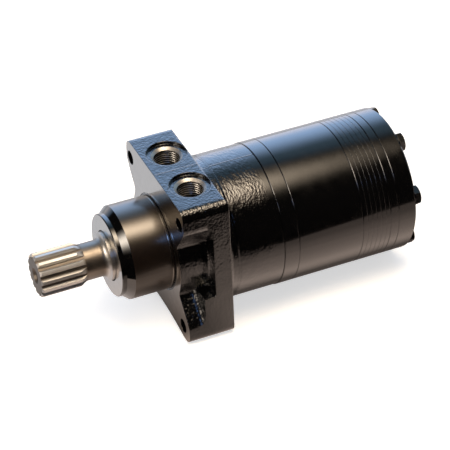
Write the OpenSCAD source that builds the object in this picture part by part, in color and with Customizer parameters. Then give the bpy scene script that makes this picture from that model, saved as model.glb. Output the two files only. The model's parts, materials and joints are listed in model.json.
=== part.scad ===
// Gerotor hydraulic motor with a rolling-vane rotor set, splined shaft and square four-bolt flange.
// The shaft axis is Y and the shaft points to -Y. The origin is on that axis, in the plane of the
// flange's mounting face. The two ports open upward, to +Z. All sizes are in millimetres.

/* [Flange and port block] */
// Half width of the block at the bottom ears
block_half_w_bottom = 55.5; // [53:0.5:70]
// Half width of the block at the top ears
block_half_w_top = 51.5; // [50:0.5:70]
// Height of the machined port face above the shaft axis
block_top = 56.9; // [54:0.1:72]
// Depth of the bottom ears below the shaft axis
block_bottom = 53.9; // [52:0.1:70]
// Length of the block along the shaft axis
block_len = 34; // [33:0.5:48]
// Radius of the block's four long edges
block_edge_r = 7; // [3:0.5:8]
// Height of the shallow arch between the bottom ears
arch_rise = 4.4; // [1:0.1:5]
// Distance between neighbouring mounting holes
hole_pitch = 88; // [84:0.5:92]
// Diameter of the mounting holes
hole_d = 10.5; // [8:0.1:12]
// Radius of the round core that is the floor of the side pockets
core_r = 43; // [41:0.5:46]
// Depth of the side pockets behind the mounting face
pocket_depth = 21.5; // [16:0.5:26]
// Depth of the lower recess, beside each bottom ear
recess_depth = 12.9; // [11:0.1:14]
// Height of the ledge at the bottom of the deep pocket, below the axis
ledge_z = 18; // [12:0.5:19]
// Slope of the top ears' inner edges
ear_slope_top = 54; // [50:1:56]
// Slope of the bottom ears' inner edges
ear_slope_bottom = 48; // [46:1:52]
// Height of the top ears' inner edge where it is 41 mm off the axis
ear_edge_top = 24.9; // [24:0.1:26]
// The same height for the bottom ears, below the axis
ear_edge_bottom = 23.2; // [22:0.1:25]
// Radius of the rounding from an ear's inner edge to the block's side
ear_rim_r = 9; // [5:0.5:10]
// Radius of the rear edge of the block's top
block_rear_r = 2.2; // [1:0.1:2.5]

/* [Nose] */
// Radius of the nose, which is the mounting pilot
nose_r = 34; // [32:0.5:36]
// Length of the whole nose in front of the mounting face
nose_len = 37.7; // [34:0.1:42]
// Radius of the collar at the nose's end
collar_r = 30; // [28:0.5:31]
// Length of that collar
collar_len = 3.4; // [1:0.1:4]
// Length of the cone between collar and nose
nose_cone_len = 4.8; // [1:0.1:6]

/* [Barrel and stack] */
// Radius of the cast barrel behind the flange
barrel_r = 52; // [51:0.1:58]
// Radius of the round sections bolted behind the barrel
stack_r = 52.4; // [51.8:0.1:60]
// Distance from the mounting face to the barrel's rear face
barrel_end = 75.3; // [75:0.1:90]
// Thickness of the wear plate
wear_plate_t = 11.2; // [8:0.1:16]
// Width of the rotor set, which sets the displacement
rotor_set_w = 49.7; // [30:0.1:70]
// Thickness of the plated manifold
manifold_t = 21.7; // [16:0.1:30]
// Thickness of the commutator ring
commutator_ring_t = 6.4; // [5:0.1:9]
// Thickness of the end cover
end_cover_t = 13.9; // [10:0.1:18]

/* [End bolts] */
// Number of end bolts and of rollers
roller_count = 7; // [7]
// Radius of the circle the end bolts stand on
bolt_circle_r = 45.2; // [45:0.1:46]
// Angle of the first end bolt from +Z toward +X
bolt_turn = -28; // [-60:1:60]
// Diameter of the end bolts
bolt_d = 8; // [6:0.5:8]
// Width across the flats of their heads
bolt_head_af = 12.7; // [10:0.1:13]
// Height of their heads
bolt_head_h = 4.8; // [3:0.1:6]
// Length of thread held by the housing
bolt_grip = 18; // [12:1:20]

/* [Ports] */
// Distance between the two port centres
port_pitch = 41.6; // [40:0.1:44]
// Distance of the ports behind the mounting face
port_y = 18.4; // [17:0.1:22]
// Minor diameter of the port thread, G 1/2
port_minor_d = 18.631; // [14:0.001:19]
// Major diameter of the port thread, at the mouth's chamfer
port_major_d = 20.955; // [20:0.001:22]
// Radius of the spot face round each port
spot_face_r = 14.6; // [13:0.1:15]
// Depth of that spot face
spot_face_depth = 2.3; // [1:0.1:3]
// Depth of the threaded port below the spot face
port_depth = 14; // [10:0.5:15]

/* [Output shaft] */
// Length of shaft in front of the mounting face
shaft_reach = 90.6; // [85:0.1:110]
// Number of spline teeth
spline_teeth = 14; // [13:1:15]
// Outer diameter of the spline, 1-1/4 inch
spline_d = 31.75; // [30:0.05:33]
// Diameter at the spline's root, and of the neck behind it
spline_root_d = 26.4; // [25:0.1:27]
// Length of the spline with its run-out
spline_len = 34; // [28:0.5:40]
// Diameter of the shaft at the seals and the front bearing
journal_d = 35; // [33:0.1:36]
// Diameter of the bell that runs in the rear bearing
bell_d = 53; // [50:0.1:54]
// Drilled diameter of the thread in the shaft's end
end_hole_d = 8.5; // [5:0.1:9]
// Depth of that thread
end_hole_depth = 25; // [15:1:30]

/* [Rotor set] */
// Radius of the circle the roller centres stand on
roller_circle_r = 33.5; // [33:0.1:34]
// Distance between the rotor's axis and the shaft's axis
eccentricity = 3; // [2.5:0.1:3.2]
// Diameter of the rollers
roller_d = 14; // [13:0.1:14]
// Running clearance between rotor and rollers
rotor_gap = 0.12; // [0.08:0.01:0.2]
// Running clearance of the rollers in their pockets, on the radius
pocket_gap = 0.08; // [0.05:0.01:0.1]
// Running clearance at each end of the turning pieces
end_gap = 0.05; // [0.05:0.01:0.1]

/* [Drive link] */
// Number of teeth at each end of the drive link
link_teeth = 12; // [10:1:12]
// Outer diameter of the link's teeth at the middle of the crown
link_major_d = 27; // [26:0.1:27.6]
// Diameter at the root of those teeth
link_root_d = 21.8; // [20:0.1:22]
// Thickness of a tooth at the middle of the crown
link_tooth_t = 3.2; // [2.6:0.1:3.4]
// Length of each crowned tooth
link_tooth_len = 20; // [16:0.5:22]
// Distance of the link's front pivot behind the mounting face
link_front_y = 38; // [36:0.5:40]
// Clearance of the internal splines round the teeth
link_gap = 0.2; // [0.15:0.01:0.3]

/* [Commutator] */
// Outer radius of the commutator
commutator_r = 30; // [28:0.1:30.5]
// Radius of the ball nose that carries the commutator
link_ball_r = 7; // [6:0.1:8]
// Radial clearance of that ball nose
ball_gap = 0.08; // [0.05:0.01:0.1]

/* [Hidden] */
$fn = 96;

// Joint faces of the stack, measured from the mounting face
wear_plate_end = barrel_end + wear_plate_t;
rotor_set_end = wear_plate_end + rotor_set_w;
manifold_end = rotor_set_end + manifold_t;
commutator_ring_end = manifold_end + commutator_ring_t;
rear_face = commutator_ring_end + end_cover_t;

// Nose and barrel
nose_y = -nose_len;
nose_chamfer = 0.6;
nose_groove_w = 1.6;
nose_groove_depth = 0.8;
barrel_neck_r = barrel_r - 1;
barrel_neck_end = block_len + 7.6;
block_fillet = 3;
core_fillet = 3;
pocket_corner_r = 3;
recess_corner_r = 5;
ear_edge_x = 41;
ear_fillet = 5;
rim_stop = 0.7;
hair = 0.02;
barrel_start = pocket_depth + 1;

// Centres of the block's rounded edges, and the direction its drafted side looks
top_corner = [block_half_w_top - block_edge_r, block_top - block_edge_r];
low_corner = [block_half_w_bottom - block_edge_r, block_edge_r - block_bottom];
side_draft = atan((low_corner[0] - top_corner[0]) / (top_corner[1] - low_corner[1]));
side_out = [cos(side_draft), sin(side_draft)];
side_distance = top_corner * side_out + block_edge_r;

// Bores of the housing, from the nose to the rear
seal_gap = 0.05;
dust_seal_r = 24;
dust_seal_start = nose_y + 2;
dust_seal_end = dust_seal_start + 4.5;
lip_r = journal_d / 2 + 0.9;
seal_bore_r = 24.5;
seal_bore_start = dust_seal_end + 2.2;
washer_t = 2;
seal_len = 8;
race_start = seal_bore_start + washer_t + seal_len + 3;
front_needle_r = 2.5;
front_race_in_r = journal_d / 2 + 2 * front_needle_r;
front_race_out_r = front_race_in_r + 3.5;
race_len = 18;
front_needle_len = 13;
front_needle_count = 16;
race_end = race_start + race_len;
thrust_seat_y = race_end + 1;
thrust_washer_t = 2;
thrust_out_r = 30;
thrust_needle_r = 2;
thrust_needle_len = 7;
thrust_needle_count = 18;
thrust_mid_r = 24;
shoulder_y = thrust_seat_y + thrust_washer_t + 2 * thrust_needle_r + 2 * end_gap;
shoulder_r = 28;
shoulder_t = 5;
cavity_r = 31;
bell_r = bell_d / 2;
bell_end = barrel_end - 5.3;
rear_needle_r = 2;
rear_needle_len = 15;
rear_needle_count = 24;
rear_race_in_r = bell_r + 2 * rear_needle_r;
rear_race_out_r = rear_race_in_r + 3;
rear_race_start = 42;
rear_race_len = 20;
rear_cavity_r = rear_race_out_r + 1.5;
cage_wall = 2.4;
cage_gap = 0.3;
needle_gap = 0.05;
sleeve_gap = 0.1;

// Oil passages
passage_r = 3;
passage_circle_r = 45.5;
passage_turn = bolt_turn + 1.5 * 360 / roller_count;
window_r = 3;
window_circle_r = 30;
feed_r = 5;

// Bolts and what they pass through
bolt_r = bolt_d / 2;
bolt_hole_r = bolt_r + 0.1;
bolt_tip = barrel_end - bolt_grip;
bolt_hole_end = bolt_tip - 2;

// Seal rings between the sections
ring_in_r = 49.8;
ring_out_r = 51.2;
ring_t = 1.2;

// Rotor geometry: the roller centres as the rotor sees them, moved in by the roller's radius
roller_r = roller_d / 2;
lobe_count = roller_count - 1;
roller_turn = bolt_turn + 180 / roller_count;
rotor_turn = roller_count * roller_turn / lobe_count;
rotor_steps = 30 * lobe_count;
centre_path = function (t)
    [roller_circle_r * sin(t) - eccentricity * sin(roller_count * t),
     roller_circle_r * cos(t) - eccentricity * cos(roller_count * t)];
centre_slope = function (t)
    [roller_circle_r * cos(t) - eccentricity * roller_count * cos(roller_count * t),
     -roller_circle_r * sin(t) + eccentricity * roller_count * sin(roller_count * t)];
outward = function (v) [-v[1], v[0]] / norm(v);
rotor_point = function (t) centre_path(t) - (roller_r + rotor_gap) * outward(centre_slope(t));
// Spreads the outline's points so that they stand closer together in the valleys
spread = function (t) t - 0.8 / lobe_count * sin(lobe_count * t) * 180 / PI;

// Involute spline of the output shaft, 30 degree pressure angle
spline_pitch_r = spline_d / 2 * spline_teeth / (spline_teeth + 1);
spline_base_r = spline_pitch_r * cos(30);
pressure = function (r) acos(min(1, spline_base_r / r));
involute = function (a) tan(a) * 180 / PI - a;
flank_angle = function (r) 90 / spline_teeth + involute(30) - involute(pressure(r));
spline_root_r = spline_root_d / 2;
spline_steps = 4;
tooth_r = function (i) spline_root_r + (spline_d / 2 - spline_root_r) * i / spline_steps;
polar = function (r, a) [r * sin(a), r * cos(a)];

// Output shaft
shaft_tip = -shaft_reach;
spline_end = shaft_tip + spline_len;
tip_chamfer = 1.2;
runout_len = 5;
flare_r = 5;
flare_start = -45;
link_bore_r = 18;
link_major_r = link_major_d / 2;
link_root_r = link_root_d / 2;
socket_major_r = link_major_r + 2 * link_gap;
socket_minor_r = link_root_r + 3 * link_gap;
socket_half = link_tooth_len / 2 + 2;

// Drive link, tilted from its front pivot on the shaft axis to the rotor's axis
rotor_mid_y = (wear_plate_end + rotor_set_end) / 2;
link_span = rotor_mid_y - link_front_y;
link_tilt = atan(eccentricity / link_span);
link_mid = link_span / cos(link_tilt);
commutator_y = (manifold_end + commutator_ring_end) / 2;
commutator_ecc = eccentricity * (commutator_y - link_front_y) / link_span;
link_ball = (commutator_y - link_front_y) / cos(link_tilt);
link_shank_r = 8.8;
link_tail_r = 5.8;
crown_sag = 0.6;
wear_plate_hole_r = 17;
manifold_hole_r = 13;
commutator_chamber_r = commutator_r + commutator_ecc + 0.8;

// A cylinder along Y from y0 to y1
module rod(r, y0, y1) {
    translate([0, y0, 0]) rotate([-90, 0, 0]) cylinder(r = r, h = y1 - y0);
}

// A flat outline in X and Z, extruded along Y from y0 to y1
module plate(y0, y1) {
    translate([0, y1, 0]) rotate([90, 0, 0]) linear_extrude(y1 - y0) children();
}

// A body turned about Y from a closed list of [y, radius] points
module turned(points) {
    rotate([-90, 0, 0]) rotate_extrude() polygon([for (p = points) [p[1], p[0]]]);
}

// A ring along Y
module tube(r_in, r_out, y0, y1) {
    turned([[y0, r_in], [y0, r_out], [y1, r_out], [y1, r_in]]);
}

// Copies round the Y axis, the first at angle a0 from +Z toward +X
module around(count, radius, a0) {
    for (i = [0 : count - 1])
        rotate([0, a0 + 360 / count * i, 0]) translate([0, 0, radius]) children();
}

module at_bolts() {
    around(roller_count, bolt_circle_r, bolt_turn) children();
}

// Housing: one iron casting with flange, port block, nose and barrel

// Outline of the flange and port block, with a draft on its sides. The rounds lie a hair inside the
// flats, so that they don't just touch them.
module block_outline() {
    out = block_edge_r * side_out;
    right = [[top_corner[0], block_top], top_corner + out, low_corner + out, [low_corner[0], -block_bottom]];
    polygon([for (p = right) p, for (i = [3 : -1 : 0]) [-right[i][0], right[i][1]]]);
    for (x = [-1, 1]) {
        translate([x * top_corner[0], top_corner[1]]) circle(block_edge_r - hair);
        translate([x * low_corner[0], low_corner[1]]) circle(block_edge_r - hair);
    }
}

// What rounding takes off the rear edge of the block's top
module rear_edge() {
    reach = 3 * block_half_w_top;
    translate([-reach / 2, block_len - block_rear_r, block_top - block_rear_r]) rotate([90, 0, 90])
        linear_extrude(reach) difference() {
            square(block_rear_r + 1);
            circle(block_rear_r - hair);
        }
}

// Everything below a flat at the given height and in front of y = depth, with a round rear corner
module below(height, depth, corner_r) {
    reach = 130;
    front = 5;
    translate([-reach / 2, 0, height]) rotate([90, 0, 90]) linear_extrude(reach) {
        translate([-front, -reach]) square([front + depth - corner_r, reach]);
        translate([-front, -reach]) square([front + depth, reach - corner_r]);
        translate([depth - corner_r, -corner_r]) circle(corner_r);
    }
}

// The same, below the sloping inner edge of an ear on the +X side
module below_ear(edge, slope, depth, corner_r) {
    translate([ear_edge_x, 0, edge]) rotate([0, -slope, 0]) below(0, depth, corner_r);
}

// Concave corner where an ear's inner edge runs into the round core
module ear_root(edge, slope) {
    along = [cos(slope), sin(slope)];
    down = [sin(slope), -cos(slope)];
    off = [ear_edge_x, edge] * down + ear_fillet;
    reach = sqrt(pow(core_r + ear_fillet, 2) - pow(off, 2));
    centre = off * down + reach * along;
    on_ear = centre - 1.2 * ear_fillet * down;
    difference() {
        polygon([on_ear, centre, centre * (core_r - 0.5) / (core_r + ear_fillet),
                 on_ear - 1.7 * ear_fillet * along]);
        translate(centre) circle(ear_fillet);
    }
}

// The point at distance a along direction n and at distance b along direction m
function crossing(n, a, m, b) = [a * m[1] - b * n[1], b * n[0] - a * m[0]] / (n[0] * m[1] - n[1] * m[0]);

// What rounding takes off where an ear's inner edge meets the block's side, which leans by draft
module ear_rim(edge, slope, draft) {
    out = [cos(draft), sin(draft)];
    down = [sin(slope), -cos(slope)];
    depth = [ear_edge_x, edge] * down;
    inset = ear_rim_r + hair;
    centre = crossing(out, side_distance - inset, down, depth - inset);
    tip = crossing(out, side_distance, down, depth);
    difference() {
        polygon([centre + ear_rim_r * out, centre + (ear_rim_r + 1) * out, tip + out + down,
                 centre + (ear_rim_r + 1) * down, centre + ear_rim_r * down]);
        translate(centre) circle(ear_rim_r);
    }
}

// Round core behind the pockets, with a fillet at the pocket's rear wall
module core() {
    rod(core_r, -6, block_len);
    difference() {
        rod(core_r + core_fillet, pocket_depth - core_fillet, block_len);
        translate([0, pocket_depth - core_fillet, 0]) rotate([-90, 0, 0])
            rotate_extrude() translate([core_r + core_fillet, 0]) circle(core_fillet);
    }
    plate(-6, pocket_depth) ear_root(ear_edge_top, ear_slope_top);
    mirror([0, 0, 1]) plate(-6, recess_depth) ear_root(ear_edge_bottom, ear_slope_bottom);
}

// Side pocket on +X: deep between top ear and ledge, shallow beside the bottom ear
module side_pocket() {
    difference() {
        union() {
            intersection() {
                below_ear(ear_edge_top, ear_slope_top, pocket_depth, pocket_corner_r);
                mirror([0, 0, 1]) below(ledge_z, pocket_depth, pocket_corner_r);
            }
            intersection() {
                mirror([0, 0, 1]) below_ear(ear_edge_bottom, ear_slope_bottom, recess_depth, recess_corner_r);
                translate([0, -10, -60]) cube([80, 40, 60]);
            }
            plate(-1, pocket_depth - pocket_corner_r - rim_stop)
                ear_rim(ear_edge_top, ear_slope_top, side_draft);
            mirror([0, 0, 1]) plate(-1, recess_depth - recess_corner_r - rim_stop)
                ear_rim(ear_edge_bottom, ear_slope_bottom, -side_draft);
        }
        core();
    }
}

module block() {
    arch_half = block_half_w_bottom - 11;
    arch_r = (pow(arch_half, 2) + pow(arch_rise, 2)) / (2 * arch_rise);
    difference() {
        plate(0, block_len) block_outline();
        translate([0, 0, arch_rise - block_bottom - arch_r]) rod(arch_r, -1, block_len + 1);
        rear_edge();
        side_pocket();
        mirror([1, 0, 0]) side_pocket();
        rod(nose_r + nose_groove_w, -1, nose_groove_depth);
    }
}

module nose() {
    collar_end = nose_y + collar_len;
    turned([[nose_y, 0], [nose_y, collar_r - nose_chamfer], [nose_y + nose_chamfer, collar_r],
            [collar_end, collar_r], [collar_end + nose_cone_len, nose_r], [block_len / 2, nose_r],
            [block_len / 2, 0]]);
}

module barrel() {
    edge = 0.4;
    turned([[barrel_start, 0], [barrel_start, core_r - 1], [block_len - 4, barrel_neck_r],
            [barrel_neck_end - 1, barrel_neck_r],
            [barrel_neck_end, barrel_r], [barrel_end - edge, barrel_r],
            [barrel_end, barrel_r - edge], [barrel_end, 0]]);
}

// Fillet from the block's rear face onto the barrel, no wider than the block
module block_root() {
    intersection() {
        difference() {
            rod(barrel_neck_r + block_fillet, block_len - block_rear_r - 0.5, block_len + block_fillet);
            translate([0, block_len + block_fillet, 0]) rotate([-90, 0, 0])
                rotate_extrude() translate([barrel_neck_r + block_fillet, 0]) circle(block_fillet);
        }
        plate(block_len - block_rear_r - 1, block_len + block_fillet + 1) block_outline();
    }
}

// Bores for seals, bearings and shaft, from the nose to the barrel's rear face
module shaft_bores() {
    rod(lip_r, nose_y - 1, race_start);
    rod(dust_seal_r, dust_seal_start, dust_seal_end);
    rod(seal_bore_r, seal_bore_start, race_start + 1);
    rod(front_race_out_r, race_start, thrust_seat_y + 1);
    rod(cavity_r, thrust_seat_y, rear_race_start + 1);
    rod(rear_race_out_r, rear_race_start, barrel_end);
    rod(rear_cavity_r, rear_race_start + rear_race_len + 0.5, barrel_end + 1);
}

module port_bore() {
    spot_z = block_top - spot_face_depth;
    mouth_r = port_major_d / 2 + 0.8;
    chamfer = 1.6;
    translate([0, port_y, 0]) {
        translate([0, 0, spot_z]) cylinder(r = spot_face_r, h = spot_face_depth + 1);
        translate([0, 0, spot_z - port_depth]) cylinder(d = port_minor_d, h = port_depth + 1);
        translate([0, 0, spot_z - chamfer])
            cylinder(r1 = port_minor_d / 2, r2 = mouth_r, h = chamfer);
    }
}

// One port opens into the shaft cavity, the other into a passage to the rear
module oil_ways() {
    port_floor = block_top - spot_face_depth - port_depth;
    translate([-port_pitch / 2, port_y, 0]) cylinder(r = feed_r, h = port_floor + 1);
    start = [port_pitch / 2, port_y, port_floor + 2];
    finish = [passage_circle_r * sin(passage_turn), barrel_end + 0.5, passage_circle_r * cos(passage_turn)];
    way = finish - start;
    translate(start) rotate([0, 0, -atan2(way[0], way[1])])
        rotate([atan2(way[2], norm([way[0], way[1]])) - 90, 0, 0])
            cylinder(r = passage_r, h = norm(way));
}

module housing() {
    color("#17181b") difference() {
        union() {
            block();
            nose();
            barrel();
            block_root();
        }
        shaft_bores();
        oil_ways();
        for (x = [-1, 1]) {
            translate([x * port_pitch / 2, 0, 0]) port_bore();
            for (z = [-1, 1])
                translate([x * hole_pitch / 2, 0, z * hole_pitch / 2]) rod(hole_d / 2, -1, block_len + 1);
        }
        at_bolts() rod(bolt_r, bolt_hole_end, barrel_end + 1);
        tube(ring_in_r, ring_out_r, barrel_end - ring_t, barrel_end + 1);
    }
}

// Round sections bolted behind the barrel

// A section from y0 to y1 with chamfered edges, bolt holes and a seal groove at its rear or front
module section(y0, y1, groove_y) {
    edge = 0.4;
    difference() {
        turned([[y0, 0], [y0, stack_r - edge], [y0 + edge, stack_r], [y1 - edge, stack_r],
                [y1, stack_r - edge], [y1, 0]]);
        at_bolts() rod(bolt_hole_r, y0 - 1, y1 + 1);
        tube(ring_in_r, ring_out_r, groove_y, groove_y + ring_t);
    }
}

module passages(y0, y1) {
    around(roller_count, passage_circle_r, passage_turn) rod(passage_r, y0 - 1, y1 + 1);
}

module wear_plate() {
    color("#1a1b1e") difference() {
        section(barrel_end, wear_plate_end, wear_plate_end - ring_t);
        rod(wear_plate_hole_r, barrel_end - 1, wear_plate_end + 1);
        passages(barrel_end, wear_plate_end);
    }
}

// Ring with a pocket for each roller; its inner wall holds the rollers and clears the rotor
module rotor_set_ring() {
    inner_r = roller_circle_r - roller_r + 2 * eccentricity + rotor_gap;
    color("#1a1b1e") difference() {
        section(wear_plate_end, rotor_set_end, rotor_set_end - ring_t);
        rod(inner_r, wear_plate_end - 1, rotor_set_end + 1);
        around(roller_count, roller_circle_r, roller_turn)
            rod(roller_r + pocket_gap, wear_plate_end - 1, rotor_set_end + 1);
        passages(wear_plate_end, rotor_set_end);
    }
}

// Brazed stack of plates, so its rim has a fine line at each joint
module manifold() {
    plate_count = 6;
    line_depth = 0.25;
    plate_t = manifold_t / plate_count;
    color("#1a1b1e") difference() {
        section(rotor_set_end, manifold_end, manifold_end - ring_t);
        for (i = [1 : plate_count - 1]) {
            line_y = rotor_set_end + i * plate_t;
            turned([[line_y - line_depth, stack_r + 0.1], [line_y, stack_r - line_depth],
                    [line_y + line_depth, stack_r + 0.1]]);
        }
        rod(manifold_hole_r, rotor_set_end - 1, manifold_end + 1);
        passages(rotor_set_end, manifold_end);
        around(roller_count, window_circle_r, bolt_turn)
            rod(window_r, rotor_set_end - 1, manifold_end + 1);
    }
}

module commutator_ring() {
    color("#1a1b1e") difference() {
        section(manifold_end, commutator_ring_end, commutator_ring_end + 1);
        rod(commutator_chamber_r, manifold_end - 1, commutator_ring_end + 1);
    }
}

module end_cover() {
    rim = 1;
    color("#1a1b1e") intersection() {
        section(commutator_ring_end, rear_face, commutator_ring_end);
        turned([[commutator_ring_end - 1, 0], [commutator_ring_end - 1, stack_r + 1],
                [rear_face - rim, stack_r + 1], [rear_face - rim, stack_r],
                [rear_face, stack_r - rim], [rear_face, 0]]);
    }
}

// Cap bolt with a hexagon head on a round washer face
module end_bolt() {
    face_t = 0.5;
    crown = bolt_head_af / 2 * 1.02;
    rod(bolt_r, bolt_tip, rear_face + face_t);
    rod(crown * 0.98, rear_face, rear_face + face_t);
    intersection() {
        translate([0, rear_face + face_t, 0]) rotate([-90, 0, 0])
            cylinder(r = bolt_head_af / sqrt(3), h = bolt_head_h - face_t, $fn = 6);
        turned([[rear_face, 0], [rear_face, bolt_head_af], [rear_face + bolt_head_h - 1.1, bolt_head_af * 0.62],
                [rear_face + bolt_head_h, crown * 0.97], [rear_face + bolt_head_h, 0]]);
    }
}

module end_bolts() {
    color("#202124") at_bolts() end_bolt();
}

// Output shaft

module spline_outline() {
    over = 0.5;
    under = 0.3;
    radii = [spline_root_r - under, for (i = [1 : spline_steps]) tooth_r(i) + (i == spline_steps ? over : 0)];
    polygon([for (k = [0 : spline_teeth - 1]) let (a = 360 / spline_teeth * k)
                 each [for (r = radii) polar(r, a - flank_angle(r)),
                       for (i = [spline_steps : -1 : 0]) polar(radii[i], a + flank_angle(radii[i]))]]);
}

// Internal spline that takes one end of the drive link
module link_socket() {
    width = link_tooth_t + 2 * link_gap;
    circle(socket_minor_r);
    intersection() {
        circle(socket_major_r);
        for (k = [0 : link_teeth - 1]) rotate(360 / link_teeth * k)
            translate([-width / 2, 0]) square([width, socket_major_r + 1]);
    }
}

module shaft_body() {
    journal_r = journal_d / 2;
    flare_turn = acos(1 - (journal_r - spline_root_r) / flare_r);
    neck_r = bell_r - 2;
    turned([[shaft_tip, 0], [shaft_tip, spline_root_r - 0.3], [shaft_tip + 0.3, spline_root_r],
            for (t = [0 : flare_turn / 8 : flare_turn])
                [flare_start + flare_r * sin(t), spline_root_r + flare_r * (1 - cos(t))],
            [shoulder_y, journal_r], [shoulder_y, shoulder_r], [shoulder_y + shoulder_t, shoulder_r],
            [shoulder_y + shoulder_t, neck_r], [rear_race_start - 3, neck_r],
            [rear_race_start - 1, bell_r], [bell_end - 1, bell_r], [bell_end, bell_r - 1], [bell_end, 0]]);
    intersection() {
        plate(shaft_tip, spline_end) spline_outline();
        turned([[shaft_tip, 0], [shaft_tip, spline_d / 2 - tip_chamfer], [shaft_tip + tip_chamfer, spline_d / 2],
                [spline_end - runout_len, spline_d / 2], [spline_end, spline_root_r], [spline_end, 0]]);
    }
}

module output_shaft() {
    sink = 1.8;
    color("#b9bcc0") difference() {
        shaft_body();
        rod(end_hole_d / 2, shaft_tip - 1, shaft_tip + end_hole_depth);
        turned([[shaft_tip - 0.1, 0], [shaft_tip - 0.1, end_hole_d / 2 + sink + 0.1],
                [shaft_tip + sink, end_hole_d / 2], [shaft_tip + sink, 0]]);
        rod(socket_major_r + 0.3, link_front_y - socket_half - 3, link_front_y - socket_half);
        plate(link_front_y - socket_half - 1, link_front_y + socket_half + 1) link_socket();
        rod(link_bore_r, link_front_y + socket_half, bell_end + 1);
    }
}

// Seals and bearings

module dust_seal() {
    lip = journal_d / 2 + seal_gap;
    start = dust_seal_start;
    color("#0c0c0d") turned([[start, dust_seal_r], [dust_seal_end, dust_seal_r],
                             [dust_seal_end, lip + 1.2], [start + 3.6, lip + 1.2],
                             [start + 1.7, lip], [start + 0.9, lip], [start, lip + 0.8]]);
}

module seal_backup_washer() {
    color("#9a9da1")
        tube(journal_d / 2 + 0.3, seal_bore_r, seal_bore_start, seal_bore_start + washer_t);
}

module shaft_seal() {
    start = seal_bore_start + washer_t;
    lip = journal_d / 2 + seal_gap;
    color("#151516") turned([[start, seal_bore_r], [start + seal_len, seal_bore_r],
                             [start + seal_len, seal_bore_r - 1.8], [start + 3, seal_bore_r - 2.4],
                             [start + 2.6, lip + 3.2], [start + seal_len - 0.8, lip + 1.4],
                             [start + seal_len - 1.6, lip], [start + 5, lip + 0.5], [start, lip + 0.5]]);
}

// A ring of needles parallel to Y
module needles(count, mid_r, r, len, y0) {
    around(count, mid_r, 0) rod(r - needle_gap, y0, y0 + len);
}

// Cage with a window for each needle
module cage(count, mid_r, r, len, y0, cage_len) {
    start = y0 - (cage_len - len) / 2;
    difference() {
        tube(mid_r - cage_wall / 2, mid_r + cage_wall / 2, start, start + cage_len);
        around(count, mid_r, 0) rod(r + sleeve_gap, y0 - sleeve_gap, y0 + len + sleeve_gap);
    }
}

front_mid_r = journal_d / 2 + front_needle_r;
front_needle_y = race_start + (race_len - front_needle_len) / 2;
rear_mid_r = bell_r + rear_needle_r;
rear_needle_y = rear_race_start + (rear_race_len - rear_needle_len) / 2;

module front_bearing_race() {
    color("#c4c7cb") tube(front_race_in_r, front_race_out_r, race_start, race_end);
}

module front_bearing_cage() {
    color("#8f8468") cage(front_needle_count, front_mid_r, front_needle_r, front_needle_len,
                          front_needle_y, race_len - 1);
}

module front_bearing_rollers() {
    color("#d5d8dc") needles(front_needle_count, front_mid_r, front_needle_r, front_needle_len, front_needle_y);
}

module rear_bearing_race() {
    color("#c4c7cb") tube(rear_race_in_r, rear_race_out_r, rear_race_start, rear_race_start + rear_race_len);
}

module rear_bearing_cage() {
    color("#8f8468") cage(rear_needle_count, rear_mid_r, rear_needle_r, rear_needle_len,
                          rear_needle_y, rear_race_len - 1);
}

module rear_bearing_rollers() {
    color("#d5d8dc") needles(rear_needle_count, rear_mid_r, rear_needle_r, rear_needle_len, rear_needle_y);
}

module thrust_washer() {
    color("#c4c7cb") tube(journal_d / 2 + 0.4, thrust_out_r, thrust_seat_y, thrust_seat_y + thrust_washer_t);
}

// Rollers that stand like spokes, centred between washer and shaft shoulder
module thrust_spokes(r, grow) {
    mid_y = thrust_seat_y + thrust_washer_t + end_gap + thrust_needle_r;
    around(thrust_needle_count, thrust_mid_r - thrust_needle_len / 2 - grow, 0)
        translate([0, mid_y, 0]) cylinder(r = r, h = thrust_needle_len + 2 * grow);
}

module thrust_bearing_rollers() {
    color("#d5d8dc") thrust_spokes(thrust_needle_r - needle_gap, 0);
}

module thrust_bearing_cage() {
    mid_y = thrust_seat_y + thrust_washer_t + end_gap + thrust_needle_r;
    half = 1.3;
    color("#8f8468") difference() {
        tube(journal_d / 2 + 0.6, thrust_out_r - 0.4, mid_y - half, mid_y + half);
        thrust_spokes(thrust_needle_r + sleeve_gap, sleeve_gap);
    }
}

// Drive link and rotor set

// Barrel curve of the crown: how far a surface falls back at distance y from the middle
function crown_drop(y, sag) = sag * pow(2 * y / link_tooth_len, 2);

// One crowned tooth pointing to +Z, thickest at its middle
module crowned_tooth() {
    flank_sag = 0.45;
    steps = 4;
    flank = [for (i = [-steps : steps]) let (y = link_tooth_len / 2 * i / steps)
                 [link_tooth_t / 2 - crown_drop(y, flank_sag), y]];
    translate([0, 0, link_root_r - 2]) linear_extrude(link_major_r - link_root_r + 3)
        polygon([for (p = flank) p, for (i = [2 * steps : -1 : 0]) [-flank[i][0], flank[i][1]]]);
}

// One end of the link: teeth whose tips follow the crown, centred at y = 0
module crowned_end(turn) {
    stations = [for (k = [-1.1, -0.7, -0.3, 0.3, 0.7, 1.1]) k * link_tooth_len / 2];
    intersection() {
        around(link_teeth, 0, turn) crowned_tooth();
        turned([[stations[0], 0], for (y = stations) [y, link_major_r - crown_drop(y, crown_sag)],
                [stations[5], 0]]);
    }
}

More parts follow.
